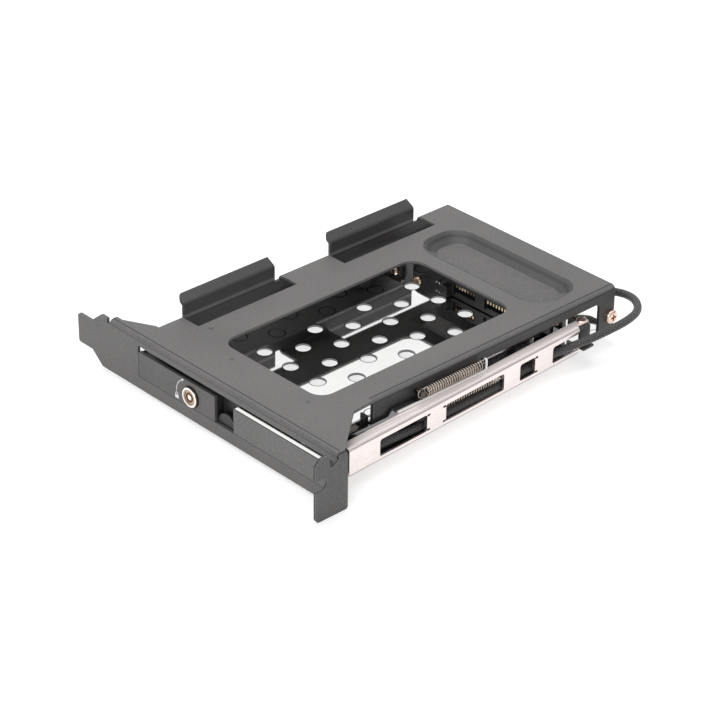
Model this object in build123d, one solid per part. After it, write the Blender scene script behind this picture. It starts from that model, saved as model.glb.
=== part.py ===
# A 2.5 inch hot swap drive cage that fills one full-height expansion slot.
# It is drawn from its slot bracket: X runs from the bracket's tongue to its screw tab, Y goes from the
# bracket's outer face into the computer, and Z is up, with the deck on top. The finished pieces are
# moved so that the centre of the screw notch, on the tab's seat, is the origin. Millimetres.
import os
from math import cos, hypot, radians, sqrt, tan

from build123d import *

# Slot bracket
cover_sheet = 1.0
bracket_length = 120.02
bracket_width = 18.42
tongue_width = 10.19
tongue_length = 6.7
shoulder_length = 5.0
bend_radius = 1.6
inner_bend = 0.6
opening_inset = 1.0
opening_end_room = 2.62
opening_low = 4.2
opening_high = 15.1
tab_reach = 9.0
tab_drop = 0.9
tab_neck = 3.3
ear_rise = 1.6
notch_width = 4.42
notch_depth = 4.6
notch_height = 11.1

# Cage cover
deck_end_room = 15.32
cage_depth = 132.1
fold_left = 16.0
left_wall_front = 8.2
right_wall_front = 27.2
window_left_border = 20.6
window_right_border = 11.0
window_front = 16.6
window_rear = 97.2
window_corner = 5.0
recess_left_border = 13.8
recess_right_border = 5.7
recess_front = 103.4
recess_rear = 123.9
recess_depth = 3.0
recess_slope = 4.4
lip_tab_starts = (18.4, 79.2)
lip_tab_length = 37.1
lip_notch_depth = 8.7
lip_notch_front = 0.8
lip_notch_rear = 2.5
lip_rise = 4.2
lip_reach = 3.5
lip_lift = 1.9
side_cut_front = 70.5
side_cut_rear = 125.2
side_cut_height = 14.3

# Tray, guide and channel
tray_sheet = 0.7
floor_top = 4.1
tray_front = 1.3
tray_rear = 131.2
tray_wall_top = 13.0
hole_diameter = 5.0
hole_first_inset = 13.4
hole_first_y = 17.5
hole_pitch = 12.25
hole_row_pairs = 4
holes_per_row = 5
drive_width = 69.85
drive_side_gap = 0.75
drive_rear = 106.6
guide_room = 2.8
guide_front = 12.6
guide_rear = 98.6
guide_height = 7.0
guide_foot = 2.0
guide_ear_place = 25.6
guide_lead = 3.0
channel_front = 10.5
channel_rear = 112.0
channel_height = 9.7
channel_splay = 2.41
channel_outset = 6.06
channel_middle_y = 60.0
channel_bend = 1.3
channel_flange = 3.7
channel_foot = 12.0
channel_tab_length = 6.3
slot_low = 1.8
slot_high = 7.5
slot_starts = (12.7, 40.8, 73.9)
slot_ends = (32.6, 66.6, 80.8)
slot_tab_at_end = (True, False, True)
rear_slot_start = 89.1
slot_tab_length = 1.2

# Board and connectors
board_thickness = 1.6
board_front = 113.4
board_left_room = 2.7
board_right_room = 0.9
board_top = 13.9
contact_pitch = 1.27
signal_contacts = 7
power_contacts = 15
signal_inset = 41.8
segment_gap = 6.35
contact_width = 0.6
connector_length = 6.4
connector_height = 5.4
socket_depth = 8.0
socket_height = 6.0
data_socket_inset = 15.0
power_socket_inset = 37.5
header_inset = 12.0
header_width = 5.6
header_height = 4.4
header_depth = 4.5

# Door
hinge_outset = 4.3
hinge_y = 5.0
hinge_diameter = 2.0
running_gap = 0.05
knuckle_radius = 2.3
door_side_gap = 0.2
handle_end_gap = 1.0
bar_overhang = 3.6
door_low = 4.35
lock_plate_high = 13.1
handle_high = 12.7
lock_plate_length = 35.7
finger_opening = 8.5
lock_plate_thickness = 1.0
handle_face_thickness = 0.4
handle_bar_thickness = 1.4
carrier_thickness = 3.4
pull_depth = 2.6
pull_lip_radius = 3.9
lock_inset = 11.0
lock_z = 8.1
barrel_diameter = 6.0
barrel_rim = 7.2
barrel_rim_height = 0.8
barrel_length = 5.2
plug_diameter = 4.2
cam_length = 8.2
cam_thickness = 0.7
strike_low = 13.9
strike_width = 10.0

# Ejector
ejector_travel = 7.0
crank_thickness = 0.7
crank_pin_diameter = 2.0
slider_sheet = 0.7
slider_gap = 0.5
slider_low = 7.8
slider_high = 11.3
fork_height = 8.6
fork_length = 5.6
spring_arm_start = 34.3
spring_arm_end = 71.6
spring_arm_height = 13.2
finger_reach = 9.4
finger_gap = 1.0
upper_spring_front = 46.0
upper_spring_rear = 69.2
upper_spring_outset = 2.6
upper_spring_z = 15.05
upper_spring_diameter = 3.5
lower_spring_front = 49.6
lower_spring_rear = 76.8
lower_spring_outset = 2.4
lower_spring_z = 7.5
lower_spring_diameter = 2.8
spring_wire = 0.5
spring_pitch = 1.06
post_diameter = 1.2
lug_place = 78.6

# Door switch and cable
switch_width = 4.0
switch_length = 6.4
switch_height = 4.9
switch_front = 12.2
button_diameter = 2.0
button_standing = 1.8
button_inside = 2.2
button_travel = 0.8
button_gap = 0.2
plug_length = 4.0
cable_diameter = 2.6
bracket_sheet = 0.7

# Fasteners
screw_diameter = 3.0
screw_head = 4.6
screw_head_height = 1.7
side_screw_y = 130.2
side_screw_z = 8.1
floor_rivet_diameter = 1.2
floor_rivet_head = 1.7
tab_rivet_diameter = 2.0
tab_rivet_head = 3.4
rivet_head_height = 0.6
board_screw_diameter = 2.0
board_screw_head = 3.8

# Values that follow from the sizes above
bracket_top = bracket_width
deck_under = bracket_top - cover_sheet
tab_inner = bracket_length - cover_sheet
notch_centre_y = -(tab_reach - notch_depth + notch_width / 2)
tray_bottom = floor_top - tray_sheet
deck_right = bracket_length - deck_end_room
guide_x = deck_right - cover_sheet - guide_room
bay_left = guide_x - drive_side_gap - drive_width
tray_left = bay_left - tray_sheet
deck_left = tray_left - cover_sheet
opening_left = deck_left + opening_inset
opening_right = bracket_length - opening_end_room
window_left = deck_left + window_left_border
window_right = deck_right - window_right_border
recess_left = deck_left + recess_left_border
recess_right = deck_right - recess_right_border
hole_first_x = bay_left + hole_first_inset
channel_middle_x = deck_right + channel_outset
board_left = bay_left + board_left_room
board_right = guide_x - board_right_room
signal_first_x = guide_x - signal_inset
data_socket_x = board_left + data_socket_inset
power_socket_x = board_left + power_socket_inset
header_x = board_right - header_inset
hinge_x = deck_right + hinge_outset
door_left = opening_left + door_side_gap
lock_plate_right = door_left + lock_plate_length
lock_x = lock_plate_right - lock_inset
handle_left = lock_plate_right + finger_opening
handle_right = opening_right - handle_end_gap
bar_right = hinge_x + bar_overhang
upper_spring_x = deck_right + upper_spring_outset
lower_spring_x = deck_right + lower_spring_outset
channel_bottom = tray_bottom - tray_sheet
channel_top = channel_bottom + channel_height
channel_slope = tan(radians(channel_splay))
board_rear = board_front + board_thickness
door_back = lock_plate_thickness + carrier_thickness
carrier_top = lock_plate_high - crank_thickness
slider_x = deck_right + slider_gap
crank_arm = ejector_travel / 2
crank_pin_x = hinge_x - crank_arm
crank_pin_y = hinge_y + crank_arm
fork_gap = crank_pin_diameter / 2 + 0.3
frame_origin = (tab_inner, notch_centre_y, notch_height)


def at_channel(y):
    """X of the channel's outer face at a depth y"""
    return channel_middle_x - channel_slope * (y - channel_middle_y)


def outline(points, radii=None):
    """A flat face from its corners, with some of the corners rounded"""
    face = make_face(Polyline(*points, close=True))
    for index, radius in (radii or {}).items():
        x, y = points[index]
        corner = face.vertices().sort_by_distance((x, y, 0))[0]
        face = fillet(corner, radius)
    return face


def slab_xy(face, low, thickness):
    """A face drawn in XY, standing from a height upwards"""
    return extrude(Pos(0, 0, low) * face, thickness)


def slab_xz(face, front, thickness):
    """A face drawn in XZ, going inwards from a depth"""
    return extrude(Plane.XZ.offset(-front) * face, -thickness)


def slab_yz(face, left, thickness):
    """A face drawn in YZ, going towards the screw tab"""
    return extrude(Plane.YZ.offset(left) * face, thickness)


def block(x0, x1, y0, y1, z0, z1):
    """A box between two corners"""
    return slab_xy(outline([(x0, y0), (x1, y0), (x1, y1), (x0, y1)]), z0, z1 - z0)


def rounded_box(x0, x1, y0, y1, radius):
    """A flat rectangle with four round corners"""
    middle = Pos((x0 + x1) / 2, (y0 + y1) / 2)
    return middle * RectangleRounded(x1 - x0, y1 - y0, radius)


def rod_x(x0, x1, y, z, diameter):
    """A round bar along X"""
    return slab_yz(Pos(y, z) * Circle(diameter / 2), x0, x1 - x0)


def rod_y(y0, y1, x, z, diameter):
    """A round bar along Y"""
    return slab_xz(Pos(x, z) * Circle(diameter / 2), y0, y1 - y0)


def rod_z(z0, z1, x, y, diameter):
    """A round bar along Z"""
    return slab_xy(Pos(x, y) * Circle(diameter / 2), z0, z1 - z0)


def fold_profile(sheet, outer, inner, leg_a, leg_b):
    """Section of a sheet folded once: leg_a goes down and leg_b goes right from the outer corner"""
    points = [(0, 0), (leg_b, 0), (leg_b, -sheet), (sheet, -sheet), (sheet, -leg_a), (0, -leg_a)]
    return outline(points, {0: outer, 3: inner})


def bracket_face():
    """The slot bracket's face with its tongue and the door opening"""
    tongue_low = (bracket_width - tongue_width) / 2
    tongue_high = tongue_low + tongue_width
    shoulder = tongue_length + shoulder_length
    top = bracket_top - bend_radius
    points = [
        (0, tongue_low), (tongue_length, tongue_low), (shoulder, 0), (tab_inner, 0), (tab_inner, top),
        (fold_left, top), (fold_left - 1.2, top), (fold_left - 1.2, bracket_top),
        (shoulder, bracket_top), (tongue_length, tongue_high), (0, tongue_high),
    ]
    face = outline(points, {0: 1.0, 8: 0.6, 10: 1.0})
    hole = outline([
        (opening_left, opening_low), (opening_right, opening_low),
        (opening_right, opening_high), (opening_left, opening_high),
    ], {0: 0.4, 1: 0.4, 2: 0.4, 3: 0.4})
    return slab_xz(face - hole, 0, cover_sheet)


def deck_plate():
    """The flat of the deck with its window and the notches behind the lipped tabs"""
    inset = deck_left + bend_radius
    notch_x = deck_left + lip_notch_depth
    left_edge = []
    for start in reversed(lip_tab_starts):
        low = start - lip_notch_front
        high = start + lip_tab_length + lip_notch_rear
        left_edge += [(inset, high), (notch_x, high), (notch_x, low), (inset, low)]
    points = [
        (fold_left, bend_radius), (bracket_length - bend_radius, bend_radius),
        (bracket_length - bend_radius, tab_neck), (deck_right + 0.5, right_wall_front - 8),
        (deck_right, right_wall_front), (deck_right - bend_radius, right_wall_front),
        (deck_right - bend_radius, cage_depth), (inset, cage_depth),
    ] + left_edge + [(inset, left_wall_front), (deck_left, left_wall_front)]
    window = rounded_box(window_left, window_right, window_front, window_rear, window_corner)
    return slab_xy(outline(points) - window, deck_under, cover_sheet)


def recess_loft(shift):
    """The pressed recess as a solid between its mouth and its floor, moved down by a shift"""
    x0, x1, y0, y1 = recess_left, recess_right, recess_front, recess_rear
    run = recess_slope
    mouth = rounded_box(x0, x1, y0, y1, 8.0)
    floor = rounded_box(x0 + run, x1 - run, y0 + run, y1 - run, 8.0 - run / 1.4)
    high = Pos(0, 0, bracket_top - shift) * mouth
    low = Pos(0, 0, bracket_top - recess_depth - shift) * floor
    return loft([low, high])


def lip_tab(start):
    """A tab of the left wall that stands above the deck and leans out at its lip"""
    crease = bracket_top + lip_rise
    base = bracket_top - bend_radius
    run = hypot(lip_reach, lip_lift)
    ux = -lip_reach / run
    uz = lip_lift / run
    wall = deck_left
    sheet = cover_sheet
    tip = (wall + sheet + ux * run, crease + uz * run)
    points = [
        (wall + sheet, base), (wall + sheet, crease), tip,
        (tip[0] - uz * sheet, tip[1] + ux * sheet), (wall, crease - sheet * 0.75), (wall, base),
    ]
    section = outline(points, {1: 1.2, 4: 0.3})
    tab = slab_xz(section, start, lip_tab_length)
    corner = rod_z(crease - sheet, crease + lip_lift + sheet, tip[0] + 2.0, start + 2.0, 4.0)
    cut = block(tip[0] - 2, tip[0] + 2.0, start - 1, start + 2.0, crease - 2 * sheet, crease + 2 * lip_lift)
    return tab - (cut - corner)


def left_wall():
    """The left wall, its folds between the notches, and the two lipped tabs"""
    fold = Pos(deck_left, bracket_top) * fold_profile(cover_sheet, bend_radius, inner_bend, 3, 3)
    edges = [left_wall_front]
    for start in lip_tab_starts:
        edges += [start - lip_notch_front, start + lip_tab_length + lip_notch_rear]
    edges.append(cage_depth)
    wall = block(deck_left, tray_left, left_wall_front, cage_depth, tray_bottom, bracket_top - bend_radius)
    for first in range(0, len(edges), 2):
        wall += slab_xz(fold, edges[first], edges[first + 1] - edges[first])
    for start in lip_tab_starts:
        wall += lip_tab(start)
    return wall


def right_wall():
    """The right wall with its long cut-out, open downwards"""
    fold = Plane.XZ.offset(-right_wall_front) * Pos(deck_right, bracket_top) * mirror(
        fold_profile(cover_sheet, bend_radius, inner_bend, 3, 3), Plane.YZ)
    length = cage_depth - right_wall_front
    top = bracket_top - bend_radius
    side = outline([
        (right_wall_front, floor_top), (side_cut_front, floor_top), (side_cut_front, side_cut_height),
        (side_cut_rear, side_cut_height), (side_cut_rear, floor_top), (cage_depth, floor_top),
        (cage_depth, top), (right_wall_front, top),
    ], {2: 1.0, 3: 2.0})
    return extrude(fold, -length) + slab_yz(side, deck_right - cover_sheet, cover_sheet)


def screw_tab():
    """The screw tab, folded down from the deck at the bracket's end"""
    ear = bracket_top + ear_rise
    points = [
        (-tab_reach, -tab_drop), (tab_neck, -tab_drop), (tab_neck, bracket_top - bend_radius),
        (0.2, bracket_top - bend_radius), (-1.8, bracket_top - 3.1), (-3.5, bracket_top - 3.1),
        (-4.1, ear), (-6.9, ear), (-tab_reach, ear - 2.0),
    ]
    plate = outline(points, {0: 1.5, 1: 0.8, 6: 0.5, 7: 0.8, 8: 0.8})
    half = notch_width / 2
    notch = Pos(notch_centre_y, notch_height) * Circle(half)
    mouth = (notch_centre_y + -tab_reach - 1) / 2
    notch += Pos(mouth, notch_height) * Rectangle(notch_centre_y + tab_reach + 1, notch_width)
    fold = mirror(fold_profile(cover_sheet, bend_radius, inner_bend, 3, 3), Plane.YZ)
    bend = extrude(Plane.XZ.offset(-0.2) * Pos(bracket_length, bracket_top) * fold, 0.2 - tab_neck)
    return slab_yz(plate - notch, tab_inner, cover_sheet) + bend


def top_cover():
    """The whole cover: one folded sheet"""
    fold = fold_profile(cover_sheet, bend_radius, inner_bend, 3, 3)
    front = Plane.YZ.offset(fold_left) * Pos(0, bracket_top) * fold
    body = bracket_face() + extrude(front, tab_inner - 0.4 - fold_left)
    body += deck_plate() + left_wall() + right_wall() + screw_tab()
    body = (body + recess_loft(cover_sheet)) - recess_loft(0)
    for x0 in (deck_left, deck_right - cover_sheet):
        body -= rod_x(x0 - 1, x0 + cover_sheet + 1, side_screw_y, side_screw_z, screw_diameter + 0.2)
    body -= rod_x(deck_left - 1, tray_left + 1, left_wall_front + 5, side_screw_z, screw_diameter + 0.2)
    for y, z in ((upper_spring_front - 1.7, upper_spring_z), (lower_spring_front - 1.7, lower_spring_z)):
        body -= rod_x(deck_right - 2, deck_right + 1, y, z, post_diameter)
    return body


def strike():
    """The angle under the deck that the lock's cam turns up behind"""
    leg = deck_under - strike_low
    profile = fold_profile(0.8, 1.0, 0.4, leg, 5.0)
    front = barrel_length - 0.3 - 0.8
    place = Plane.YZ.offset(lock_x - strike_width / 2) * Pos(front, deck_under)
    return extrude(place * profile, strike_width)


def tray_floor_outline():
    """The floor's edge: it reaches the channel at the door switch and is narrow behind it"""
    inside = tray_sheet + 0.25
    step = switch_front + switch_length + plug_length + 1.4
    right = deck_right - 0.1
    apron_right = hinge_x + 4.1
    return outline([
        (tray_left, tray_front), (apron_right, tray_front),
        (apron_right, channel_front - 0.6), (at_channel(channel_front) - inside, channel_front),
        (at_channel(step) - inside, step),
        (right, step + 1.5), (right, tray_rear), (tray_left, tray_rear),
    ], {4: 1.0})


def drive_tray():
    """The stainless tray: floor with its lattice of holes, left wall, board tabs and rear ear"""
    floor = slab_xy(tray_floor_outline(), tray_bottom, tray_sheet)
    holes = Sketch()
    step = hole_pitch * sqrt(3)
    for pair in range(hole_row_pairs):
        for column in range(holes_per_row):
            x = hole_first_x + pair * hole_pitch
            y = hole_first_y + column * step
            holes += Pos(x, y) * Circle(hole_diameter / 2)
            if column < holes_per_row - 1:
                holes += Pos(x + hole_pitch / 2, y + step / 2) * Circle(hole_diameter / 2)
    floor -= slab_xy(holes, tray_bottom - 1, tray_sheet + 2)
    points = [
        (tray_left, tray_bottom), (tray_left + 2, tray_bottom), (tray_left + 2, floor_top),
        (bay_left, floor_top), (bay_left, tray_wall_top), (tray_left, tray_wall_top),
    ]
    wall = slab_xz(outline(points, {0: 1.1, 3: 0.4}), tray_front, tray_rear - tray_front)
    edge_right = tray_left + 1.5
    edge = block(tray_left - 1, edge_right, tray_front - 1, tray_rear + 1, tray_bottom - 1, floor_top + 1)
    tray = (floor - edge) + wall
    for x in (board_left + 3, board_right - 3):
        top = board_top - 1.5
        corners = [(x - 3, tray_bottom), (x + 3, tray_bottom), (x + 3, top), (x - 3, top)]
        face = outline(corners, {2: 1.5, 3: 1.5})
        tray += slab_xz(face, board_rear, tray_sheet)
        tray -= rod_y(board_rear - 1, board_rear + 2, x, board_top - 4.5, board_screw_diameter)
    ear_x = deck_right - cover_sheet - tray_sheet
    ear = outline([
        (side_screw_y - 4, tray_bottom), (tray_rear, tray_bottom), (tray_rear, side_screw_z + 3.5),
        (side_screw_y - 4, side_screw_z + 3.5),
    ], {3: 1.5})
    tray += slab_yz(ear, ear_x, tray_sheet)
    tray -= rod_x(ear_x - 1, ear_x + 1, side_screw_y, side_screw_z, screw_diameter)
    for y in (left_wall_front + 5, side_screw_y):
        tray -= rod_x(tray_left - 1, bay_left + 1, y, side_screw_z, screw_diameter)
    for y in rivet_rows():
        tray -= rod_z(tray_bottom - 1, floor_top + 1, rivet_x(), y, floor_rivet_diameter)
    return tray - rod_z(tray_bottom - 1, floor_top + 1, hinge_x, hinge_y, hinge_diameter)


def rivet_rows():
    """Depths of the rivets that hold the guide, floor and channel together"""
    return (guide_front + 8, (guide_front + guide_rear) / 2, guide_rear - 6)


def rivet_x():
    """The rivets' line, along the guide's foot"""
    return guide_x + tray_sheet + guide_foot / 2 + 0.15


def guide_rail():
    """The right guide of the drive bay: an angle with a flared lead-in and an ear at its front"""
    points = [
        (guide_x, floor_top), (guide_x + tray_sheet + guide_foot, floor_top),
        (guide_x + tray_sheet + guide_foot, floor_top + tray_sheet),
        (guide_x + tray_sheet, floor_top + tray_sheet),
        (guide_x + tray_sheet, floor_top + guide_height), (guide_x, floor_top + guide_height),
    ]
    start = guide_front + guide_lead
    rail = slab_xz(outline(points, {0: 0.8, 3: 0.2}), start, guide_rear - start)
    lead = outline([
        (guide_x, start + 0.5), (guide_x + tray_sheet, start + 0.5), (guide_x + tray_sheet, start),
        (guide_x + tray_sheet + 0.9, guide_front), (guide_x + 0.9, guide_front), (guide_x, start),
    ])
    rail += slab_xy(lead, floor_top + 1.5, guide_height - 1.5)
    low = floor_top + guide_height - 2.8
    ear_rear = guide_ear_place + tray_sheet
    rail += block(guide_x + 0.2, deck_right - 0.1, guide_ear_place, ear_rear, low, low + 5.0)
    for y in rivet_rows():
        rail -= rod_z(floor_top - 1, floor_top + 2, rivet_x(), y, floor_rivet_diameter)
    return rail


def channel_place():
    """The channel's own frame: outer face at x = 0, front end at y = 0"""
    return Pos(at_channel(channel_front), channel_front, channel_bottom) * Rot(0, 0, channel_splay)


def channel_length():
    """Length of the channel along its own face"""
    return (channel_rear - channel_front) / cos(radians(channel_splay))


def side_channel():
    """The splayed side channel with its openings, their bent-in tabs, the open rear end and the rear tab"""
    sheet = tray_sheet
    length = channel_length()
    section = outline([
        (0, 0), (0, channel_height), (-channel_flange, channel_height),
        (-channel_flange, channel_height - sheet), (-sheet, channel_height - sheet), (-sheet, sheet),
        (-channel_foot, sheet), (-channel_foot, 0),
    ], {0: 0.9, 1: channel_bend, 4: channel_bend - sheet, 5: 0.3})
    body = slab_xz(section, 0, length)
    for start, end, tab_at_end in zip(slot_starts, slot_ends, slot_tab_at_end):
        face = outline([(start, slot_low), (end, slot_low), (end, slot_high), (start, slot_high)],
                       {0: 0.6, 1: 0.6, 2: 0.9, 3: 0.9})
        body -= slab_yz(face, -sheet - 0.5, sheet + 1)
        edge = end if tab_at_end else start
        relief = 0.7
        low = slot_low + relief
        high = slot_high - relief
        shift = 1.3 if tab_at_end else -1.3
        for z in (slot_low, slot_high - relief):
            cut = outline([(edge, z), (edge + shift, z), (edge + shift, z + relief), (edge, z + relief)])
            body -= slab_yz(cut, -sheet - 0.5, sheet + 1)
        tab = outline([(0, 0), (0, sheet), (-slot_tab_length, sheet), (-slot_tab_length, 0)],
                      {1 if not tab_at_end else 0: 0.5})
        body += Pos(0, edge - sheet if not tab_at_end else edge, low) * extrude(tab, high - low)
    mouth = outline([(rear_slot_start, slot_low), (length + 1, slot_low), (length + 1, slot_high),
                     (rear_slot_start, slot_high)], {0: 0.6, 3: 0.9})
    body -= slab_yz(mouth, -sheet - 0.5, sheet + 1)
    rear_tab = outline([
        (-1.0, length - 0.5), (-1.0, length + channel_tab_length - 1.0), (-3.4, length + channel_tab_length),
        (-channel_flange, length + channel_tab_length), (-channel_flange, length - 0.5),
    ])
    body += slab_xy(rear_tab, channel_height - sheet, sheet)
    body -= rod_z(channel_height - 2, channel_height + 1, -2.3, length + 3.4, tab_rivet_diameter)
    placed = channel_place() * body
    for y in rivet_rows():
        placed -= rod_z(channel_bottom - 1, tray_bottom + 0.5, rivet_x(), y, floor_rivet_diameter)
    for x, y in ((hinge_x, hinge_y), (crank_pin_x, crank_pin_y)):
        placed -= rod_z(channel_bottom - 1, tray_bottom, x, y, 4.4)
    return placed


def rear_rivet_place():
    """Where the rivet through the channel's rear tab stands"""
    return channel_place() * Pos(-2.3, channel_length() + 3.4, channel_height)


def rivet(low, high, x, y, shank, head):
    """A rivet with a domed head on top and a flat head below"""
    dome = Pos(x, y, high) * extrude(Circle(head / 2), rivet_head_height)
    dome = fillet(dome.edges().sort_by(Axis.Z)[-1], rivet_head_height * 0.6)
    foot = Pos(x, y, low) * extrude(Circle(head * 0.4), -rivet_head_height * 0.5)
    return dome + rod_z(low, high, x, y, shank) + foot


def channel_rivets():
    """The rivets of the guide, floor and channel, and the one on the channel's rear tab"""
    high = floor_top + tray_sheet
    pieces = []
    for y in rivet_rows():
        pieces.append(rivet(channel_bottom, high, rivet_x(), y, floor_rivet_diameter, floor_rivet_head))
    top = rear_rivet_place().position
    low = top.Z - tray_sheet - bracket_sheet
    pieces.append(rivet(low, top.Z, top.X, top.Y, tab_rivet_diameter, tab_rivet_head))
    return Compound(pieces)


def cable_bracket():
    """The black hook riveted under the channel's rear tab: the cable lies outside it, over its turned lip"""
    length = channel_length()
    s = bracket_sheet
    high = channel_height - tray_sheet
    low = slot_low - 0.2
    outer = -0.2
    section = outline([
        (outer, high), (-channel_flange - 0.2, high), (-channel_flange - 0.2, high - s),
        (outer - s, high - s), (outer - s, low),
        (outer + 1.8, low), (outer + 1.8, low + s), (outer, low + s),
    ], {0: 0.9, 3: 0.3, 4: 0.9, 7: 0.3})
    body = slab_xz(section, length + 0.5, channel_tab_length - 1.5)
    body -= rod_z(high - 2, high + 1, -2.3, length + 3.4, tab_rivet_diameter)
    return channel_place() * body


def pan_screw(length, shank, head, height):
    """A cross-head screw along Z: pan head above 0, shank below"""
    top = extrude(Circle(head / 2), height)
    top = fillet(top.edges().sort_by(Axis.Z)[-1], height * 0.55)
    recess = Rectangle(head * 0.52, head * 0.14) + Rectangle(head * 0.14, head * 0.52)
    top -= Pos(0, 0, height * 0.45) * extrude(recess, height)
    return top + extrude(Circle(shank / 2), -length)


def cover_screws():
    """The screws that hold the cover to the tray"""
    screw = pan_screw(3.2, screw_diameter, screw_head, screw_head_height)
    pieces = [Pos(deck_right, side_screw_y, side_screw_z) * Rot(0, 90, 0) * screw]
    for y in (left_wall_front + 5, side_screw_y):
        pieces.append(Pos(deck_left, y, side_screw_z) * Rot(0, -90, 0) * screw)
    return Compound(pieces)


def board_hole_centres():
    """The two screw places of the board"""
    return [(x, board_top - 4.5) for x in (board_left + 3, board_right - 3)]


def backplane_board():
    """The upright circuit board behind the bay"""
    face = outline([
        (board_left, floor_top), (board_right, floor_top), (board_right, board_top), (board_left, board_top),
    ], {2: 1.5, 3: 1.5})
    board = slab_xz(face, board_front, board_thickness)
    for x, z in board_hole_centres():
        board -= rod_y(board_front - 1, board_rear + 1, x, z, board_screw_diameter)
    return board


def board_screws():
    """The screws through the board into the tray's tabs"""
    screw = pan_screw(board_thickness + tray_sheet + 0.4, board_screw_diameter, board_screw_head, 1.4)
    pieces = [Pos(x, board_front, z) * Rot(90, 0, 0) * screw for x, z in board_hole_centres()]
    return Compound(pieces)


def segment_spans():
    """First contact and count of the signal and power segments"""
    power_first = signal_first_x + (signal_contacts - 1) * contact_pitch + segment_gap
    return ((signal_first_x, signal_contacts), (power_first, power_contacts))


def contact_places():
    """X of each contact of the drive connector"""
    return [first + i * contact_pitch for first, count in segment_spans() for i in range(count)]


def drive_connector():
    """The receptacle that the drive plugs into: two keyed mouths between guide posts"""
    front = board_front - connector_length
    (signal, signals), (power, powers) = segment_spans()
    left = signal - 3.9
    right = power + (powers - 1) * contact_pitch + 3.9
    low = floor_top + 0.4
    body = block(left, right, front, board_front, low, low + connector_height)
    for first, count in segment_spans():
        x0 = first - 1.1
        x1 = first + (count - 1) * contact_pitch + 1.1
        body -= block(x0, x1, front - 1, board_front - 1.6, low + 2.0, low + 4.6)
        body -= block(x0, x0 + 1.0, front - 1, board_front - 1.6, low + 1.0, low + 2.0)
    for x in (left + 1.1, right - 1.1):
        body += block(x - 1.1, x + 1.1, front - 2.4, front, low, low + connector_height - 1.4)
    return body


def drive_contacts():
    """The gold contacts of the drive connector, sprung down from the mouths' roofs"""
    front = board_front - connector_length
    low = floor_top + 0.4
    blade = outline([
        (front + 0.5, low + 3.2), (front + 1.0, low + 3.2), (front + 1.2, low + 4.1),
        (board_front - 1.6, low + 4.1), (board_front - 1.6, low + 4.6), (front + 0.5, low + 4.6),
    ])
    return Compound([slab_yz(blade, x - contact_width / 2, contact_width) for x in contact_places()])


def socket(x, count):
    """A socket for one of the computer's flat cables, on the back of the board"""
    width = (count - 1) * contact_pitch + 6.6
    low = floor_top + 1.0
    left = x - width / 2
    right = x + width / 2
    front = board_rear + 1.2
    rear = board_rear + socket_depth
    body = block(left, right, board_rear, rear, low, low + socket_height)
    body -= block(left + 0.8, right - 0.8, front, rear + 1, low + 0.8, low + socket_height - 0.8)
    tongue = (count - 1) * contact_pitch + 2.0
    body += block(x - tongue / 2, x + tongue / 2, front, rear - 1.0, low + 2.4, low + 3.6)
    key = x - tongue / 2
    body += block(key - 1.0, key + 0.1, front, rear - 1.0, low + 1.6, low + 3.6)
    return body


def socket_contacts():
    """The flat contacts on the tongues of both sockets"""
    low = floor_top + 1.0
    pieces = []
    for centre, count in ((data_socket_x, signal_contacts), (power_socket_x, power_contacts)):
        first = centre - (count - 1) * contact_pitch / 2
        for i in range(count):
            x = first + i * contact_pitch
            rear = board_rear + socket_depth - 1.6
            pieces.append(block(x - 0.3, x + 0.3, board_rear + 1.2, rear, low + 3.6, low + 3.8))
    return Compound(pieces)


def header_low():
    """Height of the small header's underside"""
    return floor_top + 1.6


def cable_header():
    """The small header on the back of the board that the cable plugs into"""
    x0 = header_x - header_width / 2
    x1 = header_x + header_width / 2
    low = header_low()
    high = low + header_height
    rear = board_rear + header_depth
    body = block(x0, x1, board_rear, rear, low, high)
    return body - block(x0 + 0.6, x1 - 0.6, board_rear + 1.0, rear + 1, low + 0.6, high - 0.6)


def rear_plug_end():
    """Depth of the rear plug's back face"""
    return board_rear + header_depth + 2.6


def rear_plug():
    """The cable's plug in the board's header"""
    x0 = header_x - header_width / 2 + 0.65
    x1 = header_x + header_width / 2 - 0.65
    low = header_low() + 0.65
    high = header_low() + header_height - 0.65
    return block(x0, x1, board_rear + 1.0, rear_plug_end(), low, high)


def switch_middle():
    """X and Z of the door switch's button, in front of the hinge's lug"""
    return hinge_x, floor_top + 2.4


def door_switch():
    """The small switch that the door's lug presses, standing on the floor in the channel's front end"""
    x, z = switch_middle()
    body = block(x - switch_width / 2, x + switch_width / 2, switch_front, switch_front + switch_length,
                 floor_top, floor_top + switch_height)
    top_edges = body.edges().filter_by(Axis.Y).sort_by(Axis.Z)[-2:]
    body = chamfer(top_edges, 0.5)
    pocket_end = switch_front + button_inside + button_travel + 0.4
    return body - rod_y(switch_front - 1, pocket_end, x, z, button_diameter + 2 * running_gap)


def switch_button():
    """The switch's button, with room behind it for its travel"""
    x, z = switch_middle()
    button = rod_y(switch_front - button_standing, switch_front + button_inside, x, z, button_diameter)
    return fillet(button.edges().sort_by(Axis.Y)[0], 0.4)


def front_plug():
    """The cable's plug on the back of the switch"""
    x, z = switch_middle()
    rear = switch_front + switch_length
    return block(x - 1.7, x + 1.7, rear, rear + plug_length, floor_top, floor_top + 3.6)


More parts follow.
